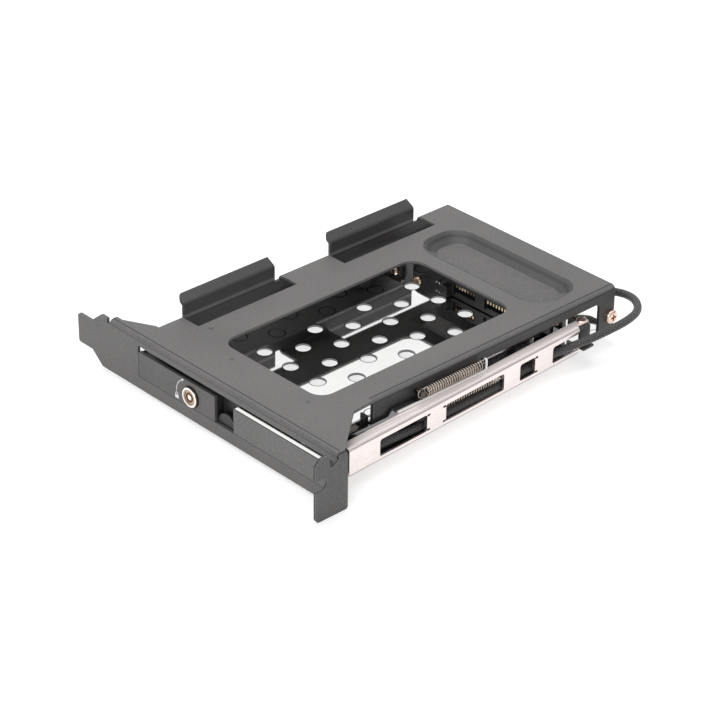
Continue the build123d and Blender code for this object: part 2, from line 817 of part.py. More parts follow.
def cable_route():
    """The cable's points: from the switch along the channel, out at its rear and round to the board"""
    start = switch_front + switch_length + plug_length
    level = header_low() + header_height / 2
    return [
        (hinge_x, start, 5.9), (hinge_x, 29.0, 5.9), (108.5, 42.0, 4.8), (108.3, 60.0, 4.76),
        (107.95, 76.0, 4.75), (106.2, 94.5, 5.3), (107.8, 103.4, 6.8), (109.6, 109.4, 7.7),
        (110.9, 114.2, 8.3), (112.5, 121.4, 9.5), (113.4, 129.0, 10.5), (111.6, 136.2, 10.7),
        (106.2, 140.4, 11.2), (99.0, 140.7, 10.6), (92.0, 137.2, 9.4), (header_x, 130.0, level),
        (header_x, rear_plug_end(), level),
    ]


def route_radii(points):
    """The largest arc that each corner of the route has room for"""
    vectors = [Vector(*p) for p in points]
    runs = [b - a for a, b in zip(vectors, vectors[1:])]
    radii = []
    for first, second in zip(runs, runs[1:]):
        turn = first.get_angle(second)
        shorter = min(first.length, second.length)
        radii.append(0.45 * shorter / tan(radians(turn) / 2))
    return radii


def cable():
    """The braided cable as a plain tube along its real route"""
    points = cable_route()
    radii = route_radii(points)
    path = FilletPolyline(*points, radius=radii)
    start = Plane(origin=points[0], z_dir=Vector(*points[1]) - Vector(*points[0]))
    tube = sweep(start * Circle(cable_diameter / 2), path=path)
    section = 3.14159265 * cable_diameter ** 2 / 4
    print("cable length", round(path.length, 1), "volume", round(tube.volume, 1), "expected",
          round(section * path.length, 1))
    print("cable radii", [round(radius, 1) for radius in radii])
    return tube


def door_carrier():
    """The moulded bar behind the door's face, with the finger pull, the knuckle and the switch lug"""
    front = lock_plate_thickness
    back = door_back
    bar = block(door_left + 0.6, hinge_x, front, back, door_low + 0.2, carrier_top)
    knuckle = rod_z(door_low + 0.2, carrier_top, hinge_x, hinge_y, 2 * knuckle_radius)
    r = knuckle_radius
    neck = block(hinge_x - r, hinge_x + r, front + 1.2, hinge_y, door_low + 0.2, carrier_top)
    body = bar + neck + knuckle
    body -= block(handle_left, hinge_x + 2 * knuckle_radius, 0, handle_face_thickness + handle_bar_thickness,
                  door_low - 1, carrier_top + 1)
    body -= block(lock_plate_right, handle_left, 0, front + pull_depth, door_low + 0.9, carrier_top + 1)
    middle = (lock_plate_right + handle_left) / 2
    r = pull_lip_radius
    lip = Pos(middle, door_low + 0.2) * Circle(r)
    lip &= Pos(middle, door_low + 0.2 + r / 2) * Rectangle(2 * r, r)
    body += slab_xz(lip, front, 0.8)
    body -= rod_y(0, back + 1, lock_x, lock_z, barrel_diameter)
    body -= rod_y(back - 1.0, back + 1, lock_x, lock_z, barrel_rim + 0.4)
    lug_tip = switch_front - button_standing - button_gap
    body += block(hinge_x - 1.0, hinge_x + 1.0, hinge_y, lug_tip, door_low + 0.7, door_low + 3.0)
    bore = hinge_diameter + 2 * running_gap
    body -= rod_z(0, bracket_width, hinge_x, hinge_y, bore)
    for x, z in door_rivet_places():
        body -= rod_y(front - 1, front + 2.4, x, z, 1.6)
    return body


def door_rivet_places():
    """Where the door's plates are riveted to the carrier, from behind the faces"""
    return (
        (door_left + 6.7, lock_z), (lock_plate_right - 4.5, lock_z + 2.9),
        (handle_left + 4.5, lock_z), (hinge_x - 9.0, lock_z),
    )


def lock_plate():
    """The left half of the door's face, with the lock's hole"""
    face = outline([
        (door_left, door_low), (lock_plate_right, door_low), (lock_plate_right, lock_plate_high),
        (door_left, lock_plate_high),
    ], {0: 0.5, 2: 0.5, 3: 0.5})
    return slab_xz(face, 0, lock_plate_thickness) - rod_y(-1, 3, lock_x, lock_z, barrel_diameter)


def handle_outline(inset, right):
    """Outline of the right half of the door's face"""
    return outline([
        (handle_left + inset, door_low + inset), (right, door_low + inset),
        (right, handle_high), (handle_left + inset, handle_high),
    ], {0: 0.3, 1: 0.3})


def handle_face():
    """The thin black front of the door's right half"""
    return slab_xz(handle_outline(0, handle_right), 0, handle_face_thickness)


def handle_bar():
    """The bright bar behind the black front, whose top edge shows"""
    return slab_xz(handle_outline(0.1, bar_right), handle_face_thickness, handle_bar_thickness)


def door_rivets():
    """The short rivets between the door's plates and its carrier"""
    pieces = []
    handle_back = handle_face_thickness + handle_bar_thickness
    for x, z in door_rivet_places():
        front = lock_plate_thickness if x < lock_plate_right else handle_back
        pieces.append(rod_y(front, lock_plate_thickness + 2.4, x, z, 1.6))
    return Compound(pieces)


def hinge_pin():
    """The door's upright pin, headed under the floor"""
    head = rod_z(tray_bottom - 0.7, tray_bottom, hinge_x, hinge_y, 3.8)
    return head + rod_z(tray_bottom, deck_under - 1.2, hinge_x, hinge_y, hinge_diameter)


def pivot_bush():
    """The bush under the deck that holds the pin's upper end"""
    bush = rod_z(lock_plate_high + 0.5, deck_under, hinge_x, hinge_y, 5.0)
    bush -= rod_z(lock_plate_high - 1, deck_under - 1.2, hinge_x, hinge_y, hinge_diameter)
    return fillet(bush.edges().sort_by(Axis.Z)[0], 0.4)


def door_crank():
    """The crank on the door: a plate round the hinge with the pin that draws the slider"""
    low = carrier_top
    reach = 1.7
    plate = make_hull([
        (Pos(hinge_x, hinge_y) * Circle(2.2)).edge(),
        (Pos(crank_pin_x, crank_pin_y) * Circle(reach)).edge(),
        (Pos(hinge_x - 7.5, door_back - 1.2) * Circle(1.1)).edge(),
    ])
    body = slab_xy(plate, low, crank_thickness)
    body -= rod_z(low - 1, low + 2, hinge_x, hinge_y, hinge_diameter + 2 * running_gap)
    body -= rod_z(low - 1, low + 2, crank_pin_x, crank_pin_y, crank_pin_diameter - 0.4)
    return body


def crank_pin():
    """The crank's pin, headed on top and reaching down into the slider's fork"""
    low = carrier_top
    body = rod_z(fork_height - 0.6, low, crank_pin_x, crank_pin_y, crank_pin_diameter)
    body += rod_z(low, low + crank_thickness, crank_pin_x, crank_pin_y, crank_pin_diameter - 0.4)
    return body + rod_z(low + crank_thickness, low + crank_thickness + 0.4, crank_pin_x, crank_pin_y, 2.8)


def lock_barrel():
    """The lock's body: a rim in front of the plate and a round shank through the door"""
    outer = barrel_rim / 2
    half = barrel_diameter / 2
    bore = plug_diameter / 2 + running_gap
    section = make_face(Polyline(
        (bore, -barrel_rim_height), (outer - 0.5, -barrel_rim_height), (outer, -barrel_rim_height + 0.4),
        (outer, 0), (half, 0), (half, barrel_length), (bore, barrel_length), close=True))
    ring = revolve(section, Axis.Y)
    return Pos(lock_x, 0, lock_z) * ring


def lock_nut():
    """The ring nut in the carrier's counterbore"""
    ring = rod_y(door_back - 1.0, door_back, lock_x, lock_z, barrel_rim + 0.2)
    return ring - rod_y(0, door_back + 1, lock_x, lock_z, barrel_diameter)


def lock_plug():
    """The plug that the key turns: a round face with a keyed ring groove, and a stem for the cam"""
    face = -barrel_rim_height + 0.25
    plug = rod_y(face, barrel_length, lock_x, lock_z, plug_diameter)
    groove = rod_y(face - 1, face + 1.0, lock_x, lock_z, plug_diameter - 0.9)
    groove -= rod_y(face - 2, face + 2, lock_x, lock_z, plug_diameter - 2.3)
    plug -= groove
    plug -= block(lock_x - 0.35, lock_x + 0.35, face - 1, face + 0.5, lock_z + 1.2, lock_z + 3)
    return plug + rod_y(barrel_length, cam_front() + cam_thickness, lock_x, lock_z, 2.6)


def cam_front():
    """Depth of the cam's front face, just clear of the barrel"""
    return barrel_length + 0.1


def lock_cam():
    """The cam on the plug's stem, lying level while the lock is open"""
    tip = lock_x - cam_length + 1.9
    arm = make_hull([
        (Pos(lock_x, lock_z) * Circle(2.6)).edge(),
        (Pos(tip, lock_z) * Circle(1.9)).edge(),
    ])
    cam = slab_xz(arm, cam_front(), cam_thickness)
    return cam - rod_y(0, 20, lock_x, lock_z, 2.6)


def cam_screw():
    """The screw that holds the cam on the plug"""
    back = cam_front() + cam_thickness
    slot = block(lock_x - 2.5, lock_x + 2.5, back + 0.3, back + 2, lock_z - 0.25, lock_z + 0.25)
    return rod_y(back, back + 0.7, lock_x, lock_z, 4.0) - slot


def finger_place():
    """How far back the finger stands, behind the drive"""
    return drive_rear + finger_gap


def ejector_slider():
    """The folded ejector strip: fork at the door, long web, spring arm, hook, lug and finger"""
    x0 = slider_x
    x1 = slider_x + slider_sheet
    web_front = crank_pin_y + 3.5
    web_rear = finger_place() + slider_sheet
    raised = lower_spring_z + lower_spring_diameter / 2 + 0.3
    raised_front = lower_spring_front - 4.6
    raised_rear = lug_place - 1.0
    web = outline([
        (web_front, slider_low), (raised_front - 1, slider_low), (raised_front, raised),
        (raised_rear, raised), (raised_rear + 0.5, slider_low),
        (web_rear, slider_low), (web_rear, slider_high),
        (spring_arm_end + 2, slider_high), (spring_arm_end, spring_arm_height),
        (spring_arm_start, spring_arm_height), (spring_arm_start - 2, slider_high), (web_front, slider_high),
    ])
    body = slab_yz(web, x0, slider_sheet)
    y = crank_pin_y
    fork = outline([
        (x0 - 3.6, y - fork_length / 2), (x1 + 0.1, y - fork_length / 2), (x1 + 0.1, y - fork_gap),
        (x0 - 2.3, y - fork_gap), (x0 - 2.3, y + fork_gap), (x1 + 0.1, y + fork_gap), (x1, web_front + 2.0),
        (x0 - 0.5, web_front + 2.0), (x0 - 3.6, web_front - 0.8),
    ])
    body += slab_xy(fork, fork_height, slider_sheet)
    arm_right = upper_spring_x + 0.7
    arm = outline([
        (x0, spring_arm_start), (arm_right, spring_arm_start), (arm_right, spring_arm_end),
        (x0, spring_arm_end),
    ], {1: 0.8})
    arm_low = spring_arm_height - slider_sheet
    body += slab_xy(arm, arm_low, slider_sheet)
    hook_high = upper_spring_z + 1.6
    hook = outline([
        (arm_right - 2, arm_low), (arm_right, arm_low), (arm_right, hook_high), (arm_right - 2, hook_high),
    ], {2: 0.7, 3: 0.7})
    hook_plate = slab_xz(hook, spring_arm_end - slider_sheet, slider_sheet)
    hole_x = upper_spring_x - 0.3
    hook_plate -= rod_y(spring_arm_end - 2, spring_arm_end + 1, hole_x, upper_spring_z, 0.9)
    body += hook_plate
    lug_right = lower_spring_x + 1.1
    lug = outline([
        (x0, slider_low + 0.1), (x1, slider_low + 0.1), (x1 + 0.2, lower_spring_z - 0.8),
        (lug_right, lower_spring_z - 0.8), (lug_right, lower_spring_z + 1.3), (x0, lower_spring_z + 1.9),
    ], {3: 0.4, 4: 0.6})
    lug_plate = slab_xz(lug, lug_place, slider_sheet)
    lug_plate -= rod_y(lug_place - 1, lug_place + 1, lower_spring_x, lower_spring_z, 0.8)
    body += lug_plate
    finger_end = x0 - finger_reach
    finger = outline([
        (finger_end, slider_low), (x1, slider_low), (x1, slider_high), (finger_end, slider_high),
    ], {0: 0.8, 3: 0.8})
    return body + slab_xz(finger, finger_place(), slider_sheet)


def finger_pad():
    """The plastic pad on the ejector's finger that meets the drive"""
    x0 = slider_x - finger_reach
    low = slider_low + 0.2
    high = slider_high - 0.2
    pad = block(x0 + 0.2, x0 + 5.2, finger_place() - 0.7, finger_place(), low, high)
    return fillet(pad.edges().filter_by(Axis.Z).sort_by(Axis.Y)[:2], 0.4)


def spring(front, rear, anchor, x, z, diameter):
    """An extension spring as a grooved sleeve of its outer shape, with a straight hook at each end"""
    outer = diameter / 2
    inner = outer - spring_wire
    turns = round((rear - front) / spring_pitch)
    pitch = (rear - front) / turns
    groove = outer - spring_wire * 0.6
    points = [(inner, front)]
    for turn in range(turns):
        points += [(groove, front + turn * pitch), (outer, front + (turn + 0.5) * pitch)]
    points += [(groove, rear), (inner, rear)]
    sleeve = revolve(make_face(Polyline(*points, close=True)), Axis.Y)
    body = Pos(x, 0, z) * sleeve
    body += rod_y(front - 1.7 + post_diameter / 2, front + 0.4, x, z + inner, spring_wire)
    return body + rod_y(rear - 0.4, anchor - 0.05, x, z + inner, spring_wire)


def upper_spring():
    """The spring above the slider's arm"""
    anchor = spring_arm_end - slider_sheet
    return spring(upper_spring_front, upper_spring_rear, anchor, upper_spring_x, upper_spring_z,
                  upper_spring_diameter)


def lower_spring():
    """The spring inside the channel, above the cable"""
    return spring(lower_spring_front, lower_spring_rear, lug_place, lower_spring_x, lower_spring_z,
                  lower_spring_diameter)


def spring_posts():
    """The headed posts on the right wall that hold the springs' front hooks"""
    places = (
        (upper_spring_front - 1.7, upper_spring_x, upper_spring_z, upper_spring_diameter),
        (lower_spring_front - 1.7, lower_spring_x, lower_spring_z, lower_spring_diameter),
    )
    pieces = []
    for y, x, z, diameter in places:
        x0 = deck_right - cover_sheet
        reach = x + 0.6
        post = rod_x(x0, reach, y, z, post_diameter) + rod_x(reach, reach + 0.4, y, z, 2.0)
        post += rod_x(x0 - 0.4, x0, y, z, 2.2)
        high = z + diameter / 2
        pieces.append(post + rod_z(z, high, x, y, 0.7))
    return Compound(pieces)


pieces = {
    "top_cover": top_cover,
    "lock_strike": strike,
    "drive_tray": drive_tray,
    "guide_rail": guide_rail,
    "side_channel": side_channel,
    "channel_rivets": channel_rivets,
    "cable_bracket": cable_bracket,
    "cover_screws": cover_screws,
    "backplane_board": backplane_board,
    "board_screws": board_screws,
    "drive_connector": drive_connector,
    "drive_contacts": drive_contacts,
    "data_socket": lambda: socket(data_socket_x, signal_contacts),
    "power_socket": lambda: socket(power_socket_x, power_contacts),
    "socket_contacts": socket_contacts,
    "cable_header": cable_header,
    "rear_plug": rear_plug,
    "door_switch": door_switch,
    "switch_button": switch_button,
    "front_plug": front_plug,
    "cable": cable,
    "hinge_pin": hinge_pin,
    "pivot_bush": pivot_bush,
    "spring_posts": spring_posts,
    "upper_spring": upper_spring,
    "lower_spring": lower_spring,
    "ejector_slider": ejector_slider,
    "finger_pad": finger_pad,
    "door_carrier": door_carrier,
    "lock_plate": lock_plate,
    "handle_face": handle_face,
    "handle_bar": handle_bar,
    "door_rivets": door_rivets,
    "door_crank": door_crank,
    "crank_pin": crank_pin,
    "lock_barrel": lock_barrel,
    "lock_nut": lock_nut,
    "lock_plug": lock_plug,
    "lock_cam": lock_cam,
    "cam_screw": cam_screw,
}

os.makedirs("parts", exist_ok=True)
to_frame = Pos(*[-value for value in frame_origin])
for name, make in pieces.items():
    export_step(to_frame * make(), f"parts/{name}.step")
print("origin of the frame in the drawing", frame_origin)
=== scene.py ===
"""Looks of the hot swap drive cage: its finishes, springs, cable, printed mark, floor, light and camera"""

import math

import bmesh
import bpy
from mathutils import Matrix, Vector


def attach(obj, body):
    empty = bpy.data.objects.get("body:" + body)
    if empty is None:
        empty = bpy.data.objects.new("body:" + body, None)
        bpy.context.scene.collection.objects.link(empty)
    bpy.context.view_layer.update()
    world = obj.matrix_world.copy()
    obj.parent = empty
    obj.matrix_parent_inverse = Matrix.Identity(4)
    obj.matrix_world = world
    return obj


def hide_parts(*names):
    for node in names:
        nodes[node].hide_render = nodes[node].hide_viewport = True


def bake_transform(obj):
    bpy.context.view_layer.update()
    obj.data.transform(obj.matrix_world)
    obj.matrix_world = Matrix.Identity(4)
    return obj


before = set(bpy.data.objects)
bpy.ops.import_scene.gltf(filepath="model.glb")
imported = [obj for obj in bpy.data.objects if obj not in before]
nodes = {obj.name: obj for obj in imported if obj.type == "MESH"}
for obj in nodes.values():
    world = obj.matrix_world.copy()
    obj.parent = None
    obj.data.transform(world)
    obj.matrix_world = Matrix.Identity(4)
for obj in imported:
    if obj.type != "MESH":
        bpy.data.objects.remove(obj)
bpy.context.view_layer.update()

# The drawing is in millimetres, the frame in metres
drawing_origin = Vector((119.02, -6.61, 11.1))


def place(x, y, z):
    """A point of the drawing as a point of the frame"""
    return (Vector((x, y, z)) - drawing_origin) / 1000


# Camera


def add_camera():
    """The photograph's viewpoint, from the front right and above"""
    azimuth = math.radians(46.57)
    elevation = math.radians(30.33)
    roll = math.radians(0.774)
    distance = 0.8192
    level = math.cos(elevation)
    back = Vector((math.sin(azimuth) * level, -math.cos(azimuth) * level, math.sin(elevation)))
    right = (-back).cross(Vector((0, 0, 1))).normalized()
    up = right.cross(-back)
    side = math.cos(roll) * right + math.sin(roll) * up
    top = -math.sin(roll) * right + math.cos(roll) * up
    data = bpy.data.cameras.new("photograph_camera")
    data.lens = 131.64
    data.sensor_width = 36
    data.clip_start = 0.01
    data.clip_end = 20
    camera = bpy.data.objects.new("photograph_camera", data)
    turn = Matrix((side, top, back)).transposed().to_4x4()
    aim = Vector((-0.05464, 0.06661, -0.00935))
    camera.matrix_world = Matrix.Translation(aim + back * distance) @ turn
    bpy.context.scene.collection.objects.link(camera)
    bpy.context.scene.camera = camera


add_camera()

# Nodes and shader maths


class Value:
    """A node's output that Python's own arithmetic can use"""

    def __init__(self, owner, socket):
        self.owner = owner
        self.socket = socket

    def maths(self, operation, *values):
        return self.owner.node("ShaderNodeMath", {"operation": operation}, dict(enumerate(values)))

    def __add__(self, other):
        return self.maths("ADD", self, other)

    def __radd__(self, other):
        return self.maths("ADD", other, self)

    def __sub__(self, other):
        return self.maths("SUBTRACT", self, other)

    def __rsub__(self, other):
        return self.maths("SUBTRACT", other, self)

    def __mul__(self, other):
        return self.maths("MULTIPLY", self, other)

    def __rmul__(self, other):
        return self.maths("MULTIPLY", other, self)

    def __truediv__(self, other):
        return self.maths("DIVIDE", self, other)

    def __rtruediv__(self, other):
        return self.maths("DIVIDE", other, self)

    def __pow__(self, other):
        return self.maths("POWER", self, other)

    def __rpow__(self, other):
        return self.maths("POWER", other, self)

    def __gt__(self, other):
        return self.maths("GREATER_THAN", self, other)

    def __lt__(self, other):
        return self.maths("LESS_THAN", self, other)

    def __abs__(self):
        return self.maths("ABSOLUTE", self)

    def sine(self):
        return self.maths("SINE", self)

    def cosine(self):
        return self.maths("COSINE", self)

    def limit(self):
        """Kept between 0 and 1"""
        return self.maths("MINIMUM", self.maths("MAXIMUM", self, 0), 1)

    def within(self, low, high, soft=0.2):
        """1 between two values and 0 outside them, with soft edges"""
        return ((self - low) / soft + 0.5).limit() * ((high - self) / soft + 0.5).limit()

    def off_row(self, first, pitch):
        """How far from the nearest of evenly spaced places"""
        steps = (self - first) / pitch + 0.5
        return abs(self.maths("FRACT", steps) - 0.5) * pitch


class Nodes:
    """The nodes of one tree"""

    def __init__(self, tree):
        self.tree = tree
        tree.nodes.clear()

    def fill(self, socket, value):
        """Links a socket to a node's value, or sets it to a plain one"""
        if isinstance(value, Value):
            self.tree.links.new(value.socket, socket)
        else:
            socket.default_value = value

    def add(self, kind, settings=None, values=None):
        """Adds a node: its settings first, then the values or links of its sockets"""
        node = self.tree.nodes.new(kind)
        for name, value in (settings or {}).items():
            if name == "stops":
                for index, (position, colour) in enumerate(value):
                    stops = node.color_ramp.elements
                    stop = stops[index] if index < len(stops) else stops.new(position)
                    stop.position = position
                    stop.color = (*colour, 1)
            else:
                setattr(node, name, value)
        for name, value in (values or {}).items():
            self.fill(node.inputs[name], value)
        return node

    def node(self, kind, settings=None, values=None, output=0):
        """Adds a node and gives the value of one of its outputs"""
        return Value(self, self.add(kind, settings, values).outputs[output])

    def seen(self):
        """1 for what is seen straight on, in a mirror or through glass, and 0 for what only lights"""
        rays = self.add("ShaderNodeLightPath").outputs
        names = ("Is Camera Ray", "Is Glossy Ray", "Is Transmission Ray")
        return sum(Value(self, rays[name]) for name in names).limit()


class Finish(Nodes):
    """One material, its nodes and its main shader"""

    def __init__(self, name, **shader_values):
        self.material = bpy.data.materials.new(name)
        self.material.use_nodes = True
        super().__init__(self.material.node_tree)
        self.main = self.add("ShaderNodeBsdfPrincipled")
        for word, value in shader_values.items():
            socket = word.replace("_", " ").title().replace("Ior", "IOR")
            self.feed(socket, value)
        self.shader = Value(self, self.main.outputs[0])
        self.output = self.add("ShaderNodeOutputMaterial", None, {"Surface": self.shader})

    def feed(self, socket, value):
        """Links or sets a socket of the main shader"""
        self.fill(self.main.inputs[socket], value)

    def spot(self):
        """Where on the piece, in metres of the frame"""
        return self.node("ShaderNodeTexCoord", output="Object")

    def stretched(self, vector, scale):
        """A place whose three numbers are scaled each by its own"""
        return self.node("ShaderNodeMapping", None, {"Vector": vector, "Scale": scale})

    def parts(self, vector):
        """The three numbers of a vector"""
        split = self.add("ShaderNodeSeparateXYZ", None, {0: vector})
        return [Value(self, socket) for socket in split.outputs]

    def drawn(self, vector):
        """The place in the drawing's millimetres"""
        return [part * 1000 + start for part, start in zip(self.parts(vector), drawing_origin)]

    def noise(self, vector, scale, detail, roughness):
        values = {"Vector": vector, "Scale": scale, "Detail": detail, "Roughness": roughness}
        return self.node("ShaderNodeTexNoise", None, values)

    def ramp(self, value, *stops):
        return self.node("ShaderNodeValToRGB", {"stops": stops}, {"Fac": value})

    def blend(self, factor, first, second):
        """Goes from the first colour to the second"""
        settings = {"data_type": "RGBA", "blend_type": "MIX"}
        colours = [c if isinstance(c, Value) else (*c, 1) for c in (first, second)]
        return self.node("ShaderNodeMix", settings, {0: factor, 6: colours[0], 7: colours[1]}, output=2)

    def relief(self, height, depth, strength=1.0, under=None):
        """A bump whose full height is depth, in metres, on top of the one that is under it"""
        values = {"Height": height, "Distance": depth, "Strength": strength}
        if under:
            values["Normal"] = under
        return self.node("ShaderNodeBump", None, values)


# Finishes

# Stretches that the painted shade and the matt parts cover, in the drawing's millimetres: across is X,
# along is Y, heights are Z
behind_face_along = (5, 200)
recess_across = (41.8, 99.6)
recess_along = (102.8, 124.5)
wall_heights = (-5, 17.5)
underside_heights = (16.9, 17.6)
lipped_tabs_across = (20, 36)
lipped_tab_heights = (18.7, 40)
rear_slope_along = (118.6, 130)
left_slope_across = (30, 48.0)
slope_heights = (15.6, 18.3)
screw_tab_across = (119.7, 122)

face_across = (16, 118.4)
face_along = (-1, 0.6)
face_edge_heights = (16.75, 17.25)
deck_heights = (18.2, 18.7)
front_fold_along = (1.3, 1.8)
right_fold_across = (102.8, 103.4)
right_fold_along = (27.2, 132)
recess_mouth_across = (49, 92)
recess_mouth_along = (103.05, 103.4)
tongue_fold_across = (118.9, 119.5)
tongue_fold_along = (-12, 3.6)

lower_bend_heights = (3.15, 3.5)
upper_bend_heights = (11.5, 12.05)
flange_heights = (12.2, 14)
arm_edge_across = (107.6, 109)
web_across = (100, 107.2)
tray_floor_heights = (3, 4.5)

# Other places and sizes that the finishes follow, in the same millimetres
deck_top = 18.42
dimple_places = [place(x, y, deck_top) for x, y in ((40.7, 19.8), (59.1, 12.4), (92.6, 12.9))]
hole_first_x = 43.7
hole_first_y = 17.5
hole_pitch = 12.25
hole_rim = (2.45, 2.82)
lock_x = 54.5
lock_z = 8.1
lock_radius = 4
bar_rounding_start = 0.4
bar_rounding_width = 1.4
track_pitch = 0.9

# Sizes in metres, and how finely the mill's lines are drawn along Y and along X
dimple_radius = 0.0011
dimple_depth = 0.00025
line_depth = 0.000004
lines_along_y = (2600, 60, 2600)
lines_along_x = (60, 2600, 2600)

# The colours of the painted shade
painted_shade_black = (0.006, 0.006, 0.007)
dimple_shade_black = (0.02, 0.02, 0.021)
painted_shade_grey = (0.12, 0.12, 0.13)


def cover_painted_shade(finish, spot):
    """Painted shade on the cover's walls, underside, lipped tabs, recess slopes and screw tab: how dark
    each is
    """
    x, y, z = finish.drawn(spot)
    recess = x.within(*recess_across) * y.within(*recess_along)
    walls = z.within(*wall_heights, 0.5) * y.within(*behind_face_along) * (1 - recess)
    underside = z.within(*underside_heights) * y.within(*behind_face_along)
    lipped_tabs = x.within(*lipped_tabs_across) * z.within(*lipped_tab_heights, 0.4)
    rear_and_left = (y.within(*rear_slope_along, 0.6) + x.within(*left_slope_across, 0.6)).limit()
    slopes = recess * z.within(*slope_heights, 0.15) * rear_and_left
    screw_tab = x.within(*screw_tab_across)
    return (walls * 0.7 + underside * 0.25 + lipped_tabs * 0.78 + slopes * 0.62 + screw_tab * 0.17).limit()


def fold_painted_shade(finish, spot):
    """Painted shade along the folds: thin dark lines on the deck's front and right folds, the face's top
    edge, the recess mouth and the tongue's fold
    """
    x, y, z = finish.drawn(spot)
    on_deck = z.within(*deck_heights, 0.1)
    front_fold = on_deck * y.within(*front_fold_along, 0.15) * x.within(*face_across)
    face_edge = z.within(*face_edge_heights, 0.35) * y.within(*face_along) * x.within(*face_across)
    right_fold = on_deck * x.within(*right_fold_across, 0.15) * y.within(*right_fold_along)
    recess_mouth = on_deck * y.within(*recess_mouth_along, 0.15) * x.within(*recess_mouth_across, 3)
    tongue_fold = x.within(*tongue_fold_across) * y.within(*tongue_fold_along)
    return (front_fold + face_edge * 0.4 + right_fold + recess_mouth * 0.7 + tongue_fold).limit()


def cover_shade_and_dimples(finish, spot, colour, surface):
    """Adds painted shade on the cover's walls, underside, lipped tabs, recess slopes and screw tab, painted
    shade along its folds, and the shallow dimples of the forming tool with painted shade in their hollows
    """
    # painted shade on the walls, underside, lipped tabs, recess slopes and screw tab
    colour = finish.blend(cover_painted_shade(finish, spot), colour, painted_shade_black)
    # painted shade along the folds
    colour = finish.blend(fold_painted_shade(finish, spot) * 0.9, colour, painted_shade_black)
    for centre in dimple_places:
        ends = {0: spot, 1: centre}
        away = finish.node("ShaderNodeVectorMath", {"operation": "DISTANCE"}, ends, output="Value")
        hollow = (1 - away / dimple_radius).limit()
        surface = finish.relief(hollow * hollow * (3 - 2 * hollow), -dimple_depth, 1.0, surface)
        # painted shade in the dimple's hollow
        colour = finish.blend(hollow * 0.6, colour, dimple_shade_black)
    return colour, surface


def powder_coat(name, dark, light, marks=None):
    """Fine-textured black powder coat, with the painted shade and dimples that its marks add where it has
    any
    """
    finish = Finish(name, metallic=0.0, ior=1.5)
    spot = finish.spot()
    grain = finish.noise(spot, 3400, 3, 0.6)
    fleck = finish.noise(spot, 1500, 1, 0.4)
    cloud = finish.noise(spot, 38, 2, 0.5)
    tone = (grain * 0.55 + fleck * 0.25 + cloud * 0.2).limit()
    colour = finish.ramp(tone, (0.36, dark), (0.66, light))
    surface = finish.relief(grain, 0.00002, 0.5)
    if marks:
        colour, surface = marks(finish, spot, colour, surface)
    finish.feed("Base Color", colour)
    finish.feed("Roughness", (0.5 + (grain - 0.5) * 0.22 + (cloud - 0.5) * 0.12).limit())
    finish.feed("Normal", surface)
    return finish.material


def channel_bend_shade(finish, spot):
    """Painted shade: grey lines along the channel's two bends"""
    z = finish.drawn(spot)[2]
    return (z.within(*lower_bend_heights, 0.15) * 0.75 + z.within(*upper_bend_heights, 0.25) * 0.5).limit()


def hole_rim_shade(finish, spot):
    """Painted shade: dark rings round the tray's round holes, on a lattice of two interleaved grids"""
    x, y, z = finish.drawn(spot)
    row_pitch = hole_pitch * math.sqrt(3)
    rims = []
    for shift in (0, 0.5):
        across = x.off_row(hole_first_x + shift * hole_pitch, hole_pitch)
        along = y.off_row(hole_first_y + shift * row_pitch, row_pitch)
        away = (across * across + along * along) ** 0.5
        rims.append(away.within(*hole_rim, 0.12))
    return (sum(rims) * z.within(*tray_floor_heights)).limit()


def sheared_edge(finish, spot):
    """The slider arm's outer edge, which the shear left pale and matt"""
    return finish.drawn(spot)[0].within(*arm_edge_across)


def web_shade(finish, spot):
    """Painted shade on the slider's web, dark beside the wall that it runs along"""
    return finish.drawn(spot)[0].within(*web_across, 0.3) * 0.9


def brushed_flange(finish, spot):
    """The channel's upper flange, brushed to a pale matt"""
    return finish.drawn(spot)[2].within(*flange_heights, 0.15)


def rolled_steel(name, dark, light, roughness, streak=0.6, waviness=0.0, marks=None, matt=None):
    """Bright sheet with the mill's rolling lines along Y, and painted grey shade and a matt part where it
    has any
    """
    finish = Finish(name, metallic=1.0)
    spot = finish.spot()
    lines = finish.noise(finish.stretched(spot, lines_along_y), 1.0, 3, 0.6)
    cloud = finish.noise(spot, 55, 3, 0.55)
    smear = finish.noise(finish.stretched(spot, [part * 0.12 + 4 for part in lines_along_y]), 1.0, 2, 0.5)
    tone = (lines * streak + cloud * (1 - streak)).limit()
    colour = finish.ramp(tone, (0.3, dark), (0.7, light))
    if marks:
        # painted shade in grey where the marks say
        colour = finish.blend(marks(finish, spot), colour, painted_shade_grey)
    if matt:
        finish.feed("Metallic", 1 - matt(finish, spot) * 0.8)
    surface = finish.relief(lines, line_depth, 0.35)
    if waviness:
        surface = finish.relief(finish.noise(spot, 42, 1, 0.4), waviness, 1.0, surface)
    finish.feed("Base Color", colour)
    finish.feed("Roughness", (roughness + (lines - 0.5) * roughness * 0.5 + (smear - 0.5) * 0.06).limit())
    finish.feed("Normal", surface)
    return finish.material


def rounded_bar_steel():
    """The door's polished bar, whose front edge is rounded over"""
    finish = Finish("door_stainless", metallic=1.0)
    spot = finish.spot()
    lines = finish.noise(finish.stretched(spot, lines_along_x), 1.0, 3, 0.6)
    cloud = finish.noise(spot, 55, 3, 0.55)
    tone = (lines + cloud) / 2
    behind_front = (finish.drawn(spot)[1] - bar_rounding_start) / bar_rounding_width
    rounded = finish.relief(behind_front.limit(), 0.0012)
    finish.feed("Base Color", finish.ramp(tone, (0.3, (0.9, 0.895, 0.89)), (0.7, (0.98, 0.975, 0.97))))
    finish.feed("Roughness", (0.16 + (lines - 0.5) * 0.1).limit())
    finish.feed("Normal", finish.relief(lines, line_depth, 0.35, rounded))
    return finish.material


